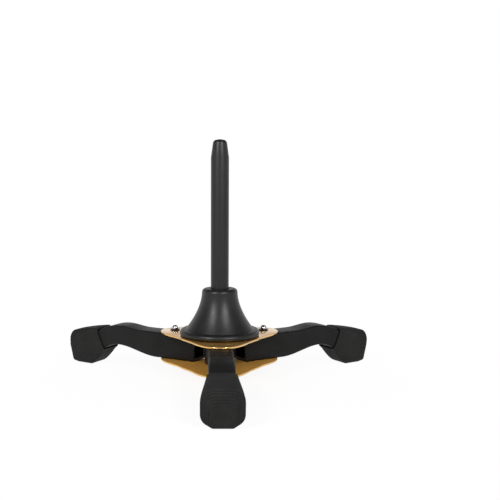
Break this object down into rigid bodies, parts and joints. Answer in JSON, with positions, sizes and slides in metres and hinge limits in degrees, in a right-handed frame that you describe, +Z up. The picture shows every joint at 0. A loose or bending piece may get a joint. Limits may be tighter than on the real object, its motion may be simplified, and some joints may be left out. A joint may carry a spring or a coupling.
{
  "type": "trumpet stand",
  "caption": "Folding stand for a trumpet: an upright screw-in peg on a bell-shaped hub, gold lobed plates and arched legs with rubber boots, the side legs folding towards the fixed front leg.",
  "frame": {"origin": "on the floor, below the middle of the stand's box", "axes": "+Z up along the peg, -Y towards the fixed front leg, +X to the right as seen from the front"},
  "size_m": [0.2888, 0.254, 0.214],
  "materials": {
    "black_plastic": "satin",
    "black_rubber": "matt",
    "gold_plate": "polished",
    "bright_steel": "polished",
    "dark_steel": "blackened",
    "brass": "machined",
    "nylon": "natural"
  },
  "bodies": {
    "base": {"hub": "black_plastic", "front_leg": "black_plastic", "centre_spacer": "black_plastic", "front_foot": "black_rubber", "top_plate": "gold_plate", "bottom_plate": "gold_plate", "centre_bolt": "bright_steel", "front_leg_screw_inner": "bright_steel", "front_leg_screw_outer": "bright_steel", "left_pivot_bolt": "bright_steel", "right_pivot_bolt": "bright_steel", "left_dome_nut": "bright_steel", "right_dome_nut": "bright_steel", "centre_washer": "dark_steel", "left_nut_washer": "dark_steel", "right_nut_washer": "dark_steel", "left_bolt_washer": "dark_steel", "right_bolt_washer": "dark_steel", "hub_bush": "brass", "left_pivot_sleeve": "brass", "right_pivot_sleeve": "brass", "left_upper_friction_washer": "nylon", "left_lower_friction_washer": "nylon", "right_upper_friction_washer": "nylon", "right_lower_friction_washer": "nylon"},
    "left_leg": {"left_leg": "black_plastic", "left_foot": "black_rubber"},
    "right_leg": {"right_leg": "black_plastic", "right_foot": "black_rubber"},
    "peg_ring": {"peg_ring": "black_rubber"},
    "peg": {"peg": "black_plastic", "peg_stud": "bright_steel"}
  },
  "joints": [
    {"name": "left_leg_fold", "type": "hinge", "parent": "base", "child": "left_leg", "pos_m": [-0.04062, 0.05817, 0.0271], "axis": [0, 0, 1], "range_deg": [0, 110]},
    {"name": "right_leg_fold", "type": "hinge", "parent": "base", "child": "right_leg", "pos_m": [0.04062, 0.05817, 0.0271], "axis": [0, 0, -1], "range_deg": [0, 110]},
    {"name": "peg_rise", "type": "slide", "parent": "base", "child": "peg_ring", "axis": [0, 0, 1], "range_m": [0, 0.012]},
    {"name": "peg_turn", "type": "hinge", "parent": "peg_ring", "child": "peg", "pos_m": [0, 0.03472, 0.08], "axis": [0, 0, 1], "range_deg": [0, 3456.2]}
  ],
  "couplings": [
    {"joint": "peg_turn", "follows": "peg_rise", "rad_per_m": 5026.5}
  ]
}
